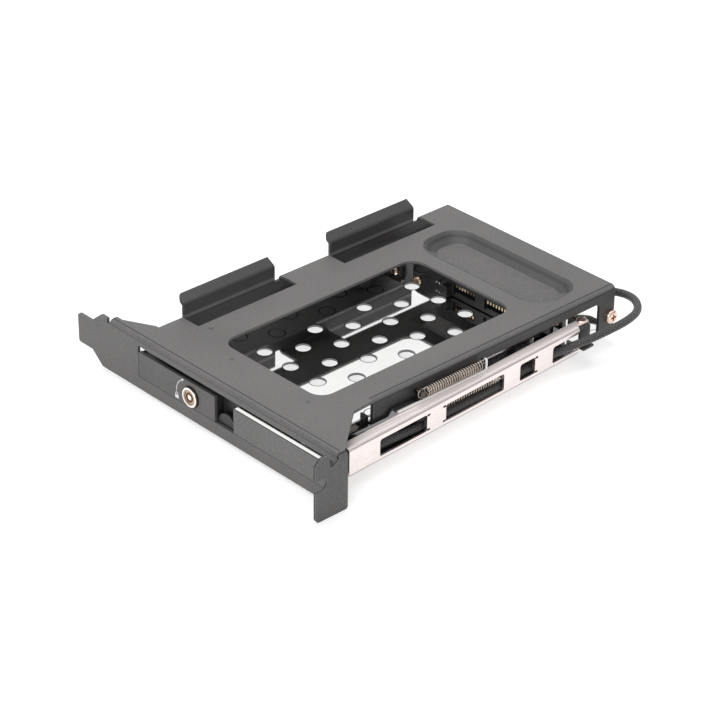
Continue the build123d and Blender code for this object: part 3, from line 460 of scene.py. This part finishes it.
def plated_metal(name, dark, light, roughness, fineness=900):
    """Turned and plated small part, a little uneven"""
    finish = Finish(name, metallic=1.0)
    spot = finish.spot()
    grain = finish.noise(spot, fineness, 3, 0.6)
    stain = finish.noise(spot, 260, 2, 0.5)
    finish.feed("Base Color", finish.ramp((grain * 0.4 + stain * 0.6).limit(), (0.32, dark), (0.68, light)))
    finish.feed("Roughness", (roughness + (grain - 0.5) * roughness * 0.7 + (stain - 0.5) * 0.08).limit())
    finish.feed("Normal", finish.relief(grain, 0.000006, 0.4))
    return finish.material


def turned_lock():
    """The lock's plated face in rings round its axis: bright core, brown grooves, a bright rim that is a
    painted highlight and a dark outer ring that is painted shadow
    """
    finish = Finish("nickel_lock", metallic=1.0)
    spot = finish.spot()
    x, _, z = finish.drawn(spot)
    away = ((x - lock_x) * (x - lock_x) + (z - lock_z) * (z - lock_z)) ** 0.5
    grain = finish.noise(spot, 1400, 3, 0.6)
    rim_highlight = (0.96, 0.93, 0.9)
    # painted highlight on the rim and painted shadow in the dark outer ring
    rings = finish.ramp(
        (away / lock_radius + (grain - 0.5) * 0.02).limit(),
        (0.0, (0.95, 0.9, 0.84)), (0.16, (0.86, 0.76, 0.67)), (0.24, (0.34, 0.25, 0.19)),
        (0.44, (0.5, 0.4, 0.32)), (0.64, (0.42, 0.31, 0.23)), (0.7, rim_highlight), (0.78, rim_highlight),
        (0.82, (0.05, 0.035, 0.03)),
    )
    finish.feed("Base Color", rings)
    finish.feed("Roughness", (0.24 + (grain - 0.5) * 0.2).limit())
    finish.feed("Normal", finish.relief(((away * 14).sine() * 0.5 + 0.5).limit(), 0.000006, 0.4))
    return finish.material


def moulding(name, dark, light, roughness):
    """Moulded plastic with a spark-eroded grain"""
    finish = Finish(name, metallic=0.0, ior=1.5)
    spot = finish.spot()
    grain = finish.noise(spot, 4200, 2, 0.5)
    flow = finish.noise(finish.stretched(spot, (60, 180, 180)), 1.0, 2, 0.5)
    finish.feed("Base Color", finish.ramp((grain * 0.35 + flow * 0.65).limit(), (0.3, dark), (0.7, light)))
    finish.feed("Roughness", (roughness + (grain - 0.5) * 0.18 + (flow - 0.5) * 0.08).limit())
    finish.feed("Normal", finish.relief(grain, 0.000012, 0.5))
    return finish.material


def circuit_board():
    """Black solder resist over copper tracks"""
    finish = Finish("black_board", metallic=0.0, coat_weight=0.4, coat_roughness=0.18)
    spot = finish.spot()
    x, _, z = finish.parts(spot)
    wander = finish.noise(finish.stretched(spot, (90, 1, 260)), 1.0, 0, 0.5)
    step = finish.node("ShaderNodeMath", {"operation": "SNAP"}, {0: wander * 9, 1: 1.0})
    lanes = (z * 1000 / track_pitch * math.tau + step * 1.6).sine()
    broken = finish.noise(finish.stretched(spot, (120, 1, 900)), 1.0, 1, 0.5)
    track = (lanes > 0.35) * (broken > 0.42)
    weave = (x * 5200).sine() * (z * 5200).sine()
    cloud = finish.noise(spot, 140, 2, 0.5)
    resist = finish.blend(cloud, (0.008, 0.009, 0.01), (0.014, 0.015, 0.016))
    finish.feed("Base Color", finish.blend(track * 0.75, resist, (0.028, 0.027, 0.024)))
    finish.feed("Roughness", (0.32 + (cloud - 0.5) * 0.2 + weave * 0.03).limit())
    finish.feed("Normal", finish.relief((track * 0.8 + weave * 0.15).limit(), 0.00003, 0.6))
    return finish.material


def braid():
    """Dark braided sleeve: two sets of yarns that cross over and under each other round the cable, the
    yarns' crowns painted lighter as a highlight
    """
    yarns = 7
    strands_in_yarn = 5
    finish = Finish("braided_sleeve", metallic=0.0, sheen_weight=0.15, sheen_roughness=0.4)
    along, around, _ = finish.parts(finish.node("ShaderNodeUVMap", {"uv_map": "braid"}))
    left = (along * yarns + around * yarns) * math.pi
    right = (along * yarns - around * yarns) * math.pi
    over = (left.sine() * right.sine()) > 0
    first = abs(left.cosine())
    second = abs(right.cosine())
    yarn = over * (1 - first * first * first) + (1 - over) * (1 - second * second * second)
    twist = (left * strands_in_yarn).sine() * over + (right * strands_in_yarn).sine() * (1 - over)
    strands = twist * 0.5 + 0.5
    fuzz = finish.noise(finish.spot(), 2600, 2, 0.5)
    # the yarns' crowns are painted lighter as a highlight, the gaps between them darker as painted shade
    tone = (yarn * 0.62 + strands * 0.2 + fuzz * 0.18).limit()
    finish.feed("Base Color", finish.ramp(tone, (0.25, (0.008, 0.008, 0.009)), (0.9, (0.095, 0.09, 0.088))))
    finish.feed("Roughness", (0.62 - yarn * 0.14 + (fuzz - 0.5) * 0.2).limit())
    finish.feed("Normal", finish.relief((yarn * 0.8 + strands * 0.2).limit(), 0.00022, 0.9))
    return finish.material


def printed_ink():
    """White ink of the printed mark"""
    finish = Finish("white_print", metallic=0.0)
    grain = finish.noise(finish.spot(), 5200, 2, 0.5)
    finish.feed("Base Color", finish.ramp(grain, (0.25, (0.55, 0.55, 0.54)), (0.55, (0.86, 0.86, 0.85))))
    finish.feed("Roughness", (0.5 + (grain - 0.5) * 0.2).limit())
    finish.feed("Normal", finish.relief(grain, 0.00001, 0.5))
    return finish.material


cover_coat = powder_coat("black_powder_coat", (0.075, 0.073, 0.072), (0.16, 0.155, 0.152), cover_shade_and_dimples)
face_coat = powder_coat("face_powder_coat", (0.06, 0.059, 0.058), (0.135, 0.13, 0.128))
handle_coat = powder_coat("handle_powder_coat", (0.082, 0.08, 0.079), (0.185, 0.181, 0.178))
inner_coat = powder_coat("bracket_powder_coat", (0.02, 0.02, 0.02), (0.05, 0.049, 0.048))
mirror_sheet = rolled_steel(
    "mirror_stainless", (0.86, 0.855, 0.85), (0.97, 0.965, 0.96), 0.035, streak=0.4, waviness=0.000006,
    marks=hole_rim_shade)
channel_sheet = rolled_steel(
    "stainless", (0.71, 0.645, 0.63), (0.86, 0.79, 0.775), 0.27, marks=channel_bend_shade, matt=brushed_flange)
strip_steel = rolled_steel("strip_stainless", (0.68, 0.66, 0.65), (0.86, 0.84, 0.83), 0.2)
slider_steel = rolled_steel(
    "slider_stainless", (0.84, 0.82, 0.81), (0.97, 0.96, 0.95), 0.2, marks=web_shade, matt=sheared_edge)
door_bar_steel = rounded_bar_steel()
spring_wire = plated_metal("spring_steel", (0.26, 0.215, 0.185), (0.52, 0.45, 0.4), 0.26, 1600)
post_oxide = plated_metal("post_oxide", (0.05, 0.045, 0.04), (0.13, 0.115, 0.1), 0.22)
screw_plate = plated_metal("nickel_screw", (0.66, 0.47, 0.38), (0.86, 0.68, 0.58), 0.24)
lock_metal = turned_lock()
cam_plate = plated_metal("cam_plate", (0.6, 0.57, 0.53), (0.8, 0.77, 0.73), 0.24)
gold = plated_metal("gold_contact", (0.66, 0.5, 0.3), (0.9, 0.76, 0.54), 0.24, 1500)
solder = plated_metal("solder", (0.5, 0.5, 0.5), (0.74, 0.74, 0.73), 0.3, 1200)
black_plastic = moulding("black_moulding", (0.012, 0.012, 0.013), (0.03, 0.03, 0.031), 0.42)
tan_ceramic = moulding("tan_ceramic", (0.3, 0.2, 0.12), (0.45, 0.31, 0.19), 0.4)
ivory_plastic = moulding("ivory_moulding", (0.52, 0.46, 0.34), (0.72, 0.66, 0.52), 0.4)
board_resist = circuit_board()
sleeve_braid = braid()
white_print = printed_ink()

finish_of = {
    "top_cover": cover_coat, "lock_plate": face_coat, "handle_face": handle_coat,
    "cable_bracket": inner_coat,
    "drive_tray": mirror_sheet, "guide_rail": strip_steel, "side_channel": channel_sheet,
    "lock_strike": strip_steel, "ejector_slider": slider_steel, "handle_bar": door_bar_steel,
    "door_crank": strip_steel, "crank_pin": strip_steel, "hinge_pin": strip_steel,
    "pivot_bush": black_plastic,
    "channel_rivets": screw_plate, "cover_screws": screw_plate, "board_screws": screw_plate,
    "cam_screw": screw_plate, "door_rivets": screw_plate, "spring_posts": post_oxide,
    "upper_spring": spring_wire, "lower_spring": spring_wire,
    "lock_barrel": lock_metal, "lock_nut": cam_plate, "lock_plug": lock_metal, "lock_cam": cam_plate,
    "drive_contacts": gold, "socket_contacts": gold,
    "drive_connector": black_plastic, "data_socket": black_plastic, "power_socket": black_plastic,
    "door_switch": black_plastic, "switch_button": ivory_plastic, "finger_pad": black_plastic,
    "door_carrier": black_plastic, "cable_header": ivory_plastic, "rear_plug": ivory_plastic,
    "front_plug": black_plastic, "backplane_board": board_resist, "cable": sleeve_braid,
}
for name, material in finish_of.items():
    for material_slot in nodes[name].material_slots:
        material_slot.material = material

# Pieces


def piece(name, mesh, material, body):
    """A finished piece that rides on a body"""
    made = bpy.data.objects.new(name, mesh)
    bpy.context.scene.collection.objects.link(made)
    if material:
        mesh.materials.clear()
        mesh.materials.append(material)
    if body:
        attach(made, body)
    return made


def smooth(mesh, angle=35):
    """Rounds the shading, except over edges sharper than the angle"""
    for face in mesh.polygons:
        face.use_smooth = True
    mesh.set_sharp_from_angle(angle=math.radians(angle))


def finished_mesh(name, built):
    """The plain mesh of what was built face by face"""
    mesh = bpy.data.meshes.new(name)
    built.to_mesh(mesh)
    built.free()
    return mesh


# The cable's points, as the drawing gives them
cable_points = [
    (109, 22.6, 5.9), (109, 29, 5.9), (108.5, 42, 4.8), (108.3, 60, 4.76), (107.95, 76, 4.75),
    (106.2, 94.5, 5.3), (107.8, 103.4, 6.8), (109.6, 109.4, 7.7), (110.9, 114.2, 8.3), (112.5, 121.4, 9.5),
    (113.4, 129, 10.5), (111.6, 136.2, 10.7), (106.2, 140.4, 11.2), (99, 140.7, 10.6), (92, 137.2, 9.4),
    (88, 130, 7.9), (88, 122.1, 7.9),
]

# The cable's and the heat shrink's sizes, in metres
cable_width = 0.0026
shrink_length = 0.0042
shrink_wall = 0.00022


def cable_line():
    """The middle line of the cable, read from its spline"""
    curve = bpy.data.curves.new("cable_line", "CURVE")
    curve.dimensions = "3D"
    curve.resolution_u = 24
    spline = curve.splines.new("NURBS")
    spline.points.add(len(cable_points) - 1)
    for point, target in zip(spline.points, cable_points):
        point.co = (*place(*target), 1)
    spline.order_u = 3
    spline.use_endpoint_u = True
    holder = bpy.data.objects.new("cable_line", curve)
    bpy.context.scene.collection.objects.link(holder)
    bpy.context.view_layer.update()
    mesh = bpy.data.meshes.new_from_object(holder)
    line = [vertex.co.copy() for vertex in mesh.vertices]
    bpy.data.meshes.remove(mesh)
    bpy.data.objects.remove(holder)
    return line


def tube_mesh(name, line, radius, uv_name=None):
    """A round tube along a line, with a UV map whose lengths are in tube widths round it"""
    sides = 20
    tangents = []
    for index in range(len(line)):
        before = line[max(index - 1, 0)]
        after = line[min(index + 1, len(line) - 1)]
        tangents.append((after - before).normalized())
    across = tangents[0].orthogonal().normalized()
    travelled = 0
    verts = []
    lengths = []
    for index, (point, tangent) in enumerate(zip(line, tangents)):
        across = (across - across.dot(tangent) * tangent).normalized()
        other = tangent.cross(across)
        if index:
            travelled += (point - line[index - 1]).length
        lengths.append(travelled)
        for side in range(sides):
            angle = math.tau * side / sides
            verts.append(point + radius * (math.cos(angle) * across + math.sin(angle) * other))
    faces = []
    maps = []
    turn = math.tau * radius
    for ring in range(len(line) - 1):
        for side in range(sides):
            follow = (side + 1) % sides
            low = ring * sides
            high = low + sides
            faces.append((low + side, low + follow, high + follow, high + side))
            left, right = side / sides, (side + 1) / sides
            start, end = lengths[ring] / turn, lengths[ring + 1] / turn
            maps += [(start, left), (start, right), (end, right), (end, left)]
    last = (len(line) - 1) * sides
    faces.append(tuple(reversed(range(sides))))
    faces.append(tuple(range(last, last + sides)))
    maps += [(0, 0)] * sides + [(lengths[-1] / turn, 0)] * sides
    mesh = bpy.data.meshes.new(name)
    mesh.from_pydata([tuple(v) for v in verts], [], faces)
    if uv_name:
        layer = mesh.uv_layers.new(name=uv_name)
        for loop, uv in zip(layer.data, maps):
            loop.uv = uv
    smooth(mesh, 60)
    return mesh


def add_cable():
    """The braided cable from the door switch to the board"""
    line = cable_line()
    mesh = tube_mesh("braided_cable", line, cable_width / 2, "braid")
    cable = piece("braided_cable", mesh, sleeve_braid, "chassis")
    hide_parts("cable")
    for name, end in (("front_heat_shrink", line[0]), ("rear_heat_shrink", line[-1])):
        run = [point for point in line if (point - end).length < shrink_length]
        shrink = piece(name, tube_mesh(name, run, cable_width / 2 + shrink_wall), black_plastic, "chassis")


add_cable()


def wound_wire_tree(material):
    """A tree that winds a wire into a close coil and thickens it with its two hooks"""
    tree = bpy.data.node_groups.new("wound_wire", "GeometryNodeTree")
    tree.interface.new_socket("Hooks", in_out="INPUT", socket_type="NodeSocketGeometry")
    for name in ("Turns", "Radius", "Length", "Wire"):
        tree.interface.new_socket(name, in_out="INPUT", socket_type="NodeSocketFloat")
    tree.interface.new_socket("Spring", in_out="OUTPUT", socket_type="NodeSocketGeometry")
    winder = Nodes(tree)
    given = {socket.name: Value(winder, socket) for socket in winder.add("NodeGroupInput").outputs}
    coil = winder.node("GeometryNodeCurveSpiral", None, {
        "Resolution": 20, "Rotations": given["Turns"], "Start Radius": given["Radius"],
        "End Radius": given["Radius"], "Height": given["Length"],
    })
    hooks = winder.node("GeometryNodeMeshToCurve", None, {"Mesh": given["Hooks"]})
    both = winder.node("GeometryNodeJoinGeometry", None, {0: coil})
    winder.fill(both.socket.node.inputs[0], hooks)
    section = winder.node(
        "GeometryNodeCurvePrimitiveCircle", None, {"Resolution": 10, "Radius": given["Wire"] * 0.5})
    wire = winder.node(
        "GeometryNodeCurveToMesh", None, {"Curve": both, "Profile Curve": section, "Fill Caps": True})
    rounded = winder.node("GeometryNodeSetShadeSmooth", None, {"Geometry": wire})
    real = winder.node("GeometryNodeRealizeInstances", None, {"Geometry": rounded})
    plated = winder.node("GeometryNodeSetMaterial", None, {"Geometry": real, "Material": material})
    winder.add("NodeGroupOutput", None, {"Spring": plated})
    return tree


def made_by_nodes(name, mesh, tree, sizes):
    """The plain mesh that a tree makes from a starting mesh and its sizes"""
    holder = bpy.data.objects.new(name + "_start", mesh)
    bpy.context.scene.collection.objects.link(holder)
    modifier = holder.modifiers.new("maker", "NODES")
    modifier.node_group = tree
    for socket in tree.interface.items_tree:
        if socket.in_out == "INPUT" and socket.name in sizes:
            modifier[socket.identifier] = sizes[socket.name]
    bpy.context.view_layer.update()
    graph = bpy.context.evaluated_depsgraph_get()
    made = bpy.data.meshes.new_from_object(holder.evaluated_get(graph))
    holder.modifiers.remove(modifier)
    bpy.data.objects.remove(holder)
    made.name = name
    return made


def hook_path(radius, length):
    """The wire of both hooks about a coil that stands on Z: a round eye in front, a straight end behind"""
    overlap = 0.0003
    tail_length = 0.0020
    neck = -radius * 0.55
    eye_middle = -radius * 1.08
    eye_start = 32
    eye_step = 20
    eye = [Vector((0, radius, overlap)), Vector((0, radius, neck))]
    for step in range(15):
        angle = math.radians(eye_start - step * eye_step)
        eye.append(Vector((0, radius * math.cos(angle), eye_middle + radius * math.sin(angle))))
    tail = [Vector((0, radius, length - overlap)), Vector((0, radius, length + tail_length))]
    mesh = bpy.data.meshes.new("hooks")
    points = [tuple(point) for point in eye + tail]
    edges = [(index, index + 1) for index in range(len(points) - 1) if index != len(eye) - 1]
    mesh.from_pydata(points, edges, [])
    return mesh


wound_wire = wound_wire_tree(spring_wire)


def add_spring(name, node, x, z, front, rear, width, wire, pitch):
    """An extension spring with real turns, from the wall's post to the slider, in drawing millimetres"""
    radius = (width - wire) / 2000
    length = (rear - front) / 1000
    turns = round((rear - front) / pitch)
    sizes = {"Turns": float(turns), "Radius": radius, "Length": length, "Wire": wire / 1000}
    mesh = made_by_nodes(name, hook_path(radius, length), wound_wire, sizes)
    lay_back = Matrix.Rotation(math.radians(-90), 4, "X")
    mesh.transform(Matrix.Translation(place(x, front, z)) @ lay_back @ Matrix.Rotation(math.pi, 4, "Z"))
    spring = piece(name, mesh, None, None)
    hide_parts(node)
    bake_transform(spring)


add_spring(
    "upper_spring_coil", "upper_spring", x=107.3, z=15.05, front=46.0, rear=69.2,
    width=3.1, wire=0.42, pitch=0.97,
)
add_spring(
    "lower_spring_coil", "lower_spring", x=107.1, z=7.5, front=49.6, rear=76.8,
    width=2.8, wire=0.5, pitch=1.06,
)


def band(points, width):
    """The two sides of a stroke of even width along points in the door's plane"""
    left, right = [], []
    for index, point in enumerate(points):
        before = Vector(points[max(index - 1, 0)])
        after = Vector(points[min(index + 1, len(points) - 1)])
        way = (after - before).normalized()
        side = Vector((-way.y, way.x)) * width / 2
        left.append(tuple(Vector(point) + side))
        right.append(tuple(Vector(point) - side))
    return left, right


def printed_mesh(name, outlines, strokes):
    """Thin ink on the door's face: filled outlines and strokes, in drawing X and Z"""
    ink_front = -0.02
    ink_back = 0.01
    slabs = list(outlines)
    for points, width in strokes:
        left, right = band(points, width)
        slabs += [(left[i], left[i + 1], right[i + 1], right[i]) for i in range(len(points) - 1)]
    built = bmesh.new()
    for loop in slabs:
        front, back = [[built.verts.new(place(x, y, z)) for x, z in loop] for y in (ink_front, ink_back)]
        built.faces.new(front)
        built.faces.new(back)
        for index in range(len(loop)):
            follow = (index + 1) % len(loop)
            built.faces.new((front[index], front[follow], back[follow], back[index]))
    bmesh.ops.remove_doubles(built, verts=built.verts, dist=1e-7)
    bmesh.ops.recalc_face_normals(built, faces=built.faces)
    return finished_mesh(name, built)


def arc(x, z, radius, start, end, steps=12):
    """Points on an arc in the door's plane, in degrees"""
    angles = [math.radians(start + (end - start) * step / steps) for step in range(steps + 1)]
    return [(x + radius * math.cos(angle), z + radius * math.sin(angle)) for angle in angles]


# The printed mark, in the drawing's millimetres
padlock_x = 47.9
padlock_z = 5.5
case_half_width = 0.8
shackle_radius = 0.48
shackle_line = 0.26
sweep_x = 53.3
sweep_z = 7.5
sweep_radius = 5.55
sweep_line = 0.24
head_half_width = 0.5
head_length = 1.05


def add_turn_mark():
    """The printed padlock and the arc arrow that shows which way the key turns"""
    left, right = padlock_x - case_half_width, padlock_x + case_half_width
    bottom, top = padlock_z - 0.65, padlock_z + 0.5
    case = [(left, bottom), (right, bottom), (right, top), (left, top)]
    bow = arc(padlock_x, padlock_z + 0.95, shackle_radius, 180, 0)
    shackle = [(padlock_x - shackle_radius, top), *bow, (padlock_x + shackle_radius, top)]
    sweep = arc(sweep_x, sweep_z, sweep_radius, 181, 121)
    tip = Vector(sweep[-1])
    heading = math.radians(31)
    way = Vector((math.cos(heading), math.sin(heading)))
    side = Vector((-way.y, way.x)) * head_half_width
    head = [tuple(tip + side), tuple(tip - side), tuple(tip + way * head_length)]
    mesh = printed_mesh("turn_mark", [case, head], [(shackle, shackle_line), (sweep, sweep_line)])
    mark = piece("turn_mark", mesh, white_print, "door")


add_turn_mark()

# The board's faces, the data socket's legs and the eased edges, in the drawing's millimetres
board_rear = 115.0
board_front = 113.38
socket_x = 48.0
leg_pitch = 1.27
leg_rows = (6.4, 9.8)
block_ease = 0.06

# A solder dome's radius, in metres
solder_radius = 0.00042


def block_into(built, low, high):
    """A small block with its edges eased, between two corners in drawing millimetres"""
    spans = list(zip(low, high))
    verts = [built.verts.new(place(x, y, z)) for x in spans[0] for y in spans[1] for z in spans[2]]
    quads = ((0, 1, 3, 2), (4, 6, 7, 5), (0, 4, 5, 1), (2, 3, 7, 6), (0, 2, 6, 4), (1, 5, 7, 3))
    faces = [built.faces.new([verts[index] for index in quad]) for quad in quads]
    edges = {edge for face in faces for edge in face.edges}
    bmesh.ops.bevel(
        built, geom=list(edges), offset=block_ease / 1000, segments=2, profile=0.5, affect="EDGES")


def add_blocks(name, centres, material, half_width, height, half_length):
    """Small eased blocks on the board's rear face, as one piece"""
    built = bmesh.new()
    for x, z in centres:
        low = (x - half_width, board_rear - 0.05, z - half_length)
        high = (x + half_width, board_rear + height, z + half_length)
        block_into(built, low, high)
    bmesh.ops.recalc_face_normals(built, faces=built.faces)
    mesh = finished_mesh(name, built)
    smooth(mesh)
    piece(name, mesh, material, "chassis")


def add_board_parts():
    """The few small capacitors on the board's rear face"""
    centres = [
        (79.2, 8.6), (79.2, 10.4), (81.6, 11.8), (60.0, 11.6),
        (57.6, 11.6), (36.2, 6.0), (92.8, 6.0), (92.8, 7.8),
    ]
    ends = [(x + side, z) for x, z in centres for side in (-0.62, 0.62)]
    add_blocks(
        "board_capacitors", centres, tan_ceramic,
        half_width=0.55, height=0.62, half_length=0.4,
    )
    add_blocks(
        "capacitor_ends", ends, solder,
        half_width=0.16, height=0.65, half_length=0.42,
    )


add_board_parts()


def add_solder_joints():
    """Solder domes on the board's front face, where the data socket's legs come through"""
    built = bmesh.new()
    for x in [socket_x + index * leg_pitch for index in range(-3, 4)]:
        for z in leg_rows:
            made = bmesh.ops.create_icosphere(built, subdivisions=2, radius=solder_radius)
            bmesh.ops.scale(built, vec=(1, 0.8, 1), verts=made["verts"])
            bmesh.ops.translate(built, vec=place(x, board_front, z), verts=made["verts"])
    mesh = finished_mesh("solder_joints", built)
    smooth(mesh, 80)
    piece("solder_joints", mesh, solder, "chassis")


add_solder_joints()

# Floor, world and lamps, in metres

white = (1, 1, 1, 1)
floor_half = 3.0
floor_height = -0.01205
floor_glow = 0.45
studio_light = 0.6
cage_middle = (-0.054, 0.067, -0.004)


def add_floor():
    """The pale floor the cage stands on"""
    built = bmesh.new()
    signs = ((-1, -1), (1, -1), (1, 1), (-1, 1))
    built.faces.new([built.verts.new((x * floor_half, y * floor_half, floor_height)) for x, y in signs])
    finish = Finish("pale_floor", base_color=(0.8, 0.8, 0.8, 1), roughness=0.9, specular_ior_level=0.1)
    glow = finish.node("ShaderNodeEmission", None, {"Color": white, "Strength": finish.seen() * floor_glow})
    both = finish.node("ShaderNodeAddShader", None, {0: finish.shader, 1: glow})
    finish.fill(finish.output.inputs["Surface"], both)
    piece("floor", finished_mesh("floor", built), finish.material, None)


def add_world():
    """Even studio surround: white to the eye and in reflections, softer as light"""
    world = bpy.data.worlds.new("studio")
    bpy.context.scene.world = world
    world.use_nodes = True
    studio = Nodes(world.node_tree)
    light = studio.node("ShaderNodeBackground", None, {"Color": white, "Strength": studio_light})
    backdrop = studio.node("ShaderNodeBackground", None, {"Color": white, "Strength": 1.0})
    surround = studio.node("ShaderNodeMixShader", None, {0: studio.seen(), 1: light, 2: backdrop})
    studio.add("ShaderNodeOutputWorld", None, {"Surface": surround})


def add_lamp(name, position, size, power):
    """A soft lamp that looks at the cage's middle"""
    data = bpy.data.lights.new(name, "AREA")
    data.shape = "RECTANGLE"
    data.size, data.size_y = size
    data.energy = power
    lamp = bpy.data.objects.new(name, data)
    way = Vector(cage_middle) - Vector(position)
    lamp.matrix_world = Matrix.Translation(position) @ way.to_track_quat("-Z", "Y").to_matrix().to_4x4()
    bpy.context.scene.collection.objects.link(lamp)


add_floor()
add_world()
add_lamp("overhead_softbox", position=(-0.25, 0.15, 0.75), size=(0.6, 0.6), power=3.2)
add_lamp("front_softbox", position=(0.25, -0.7, 0.35), size=(0.5, 0.4), power=2.2)

bpy.context.scene.view_settings.view_transform = "Standard"
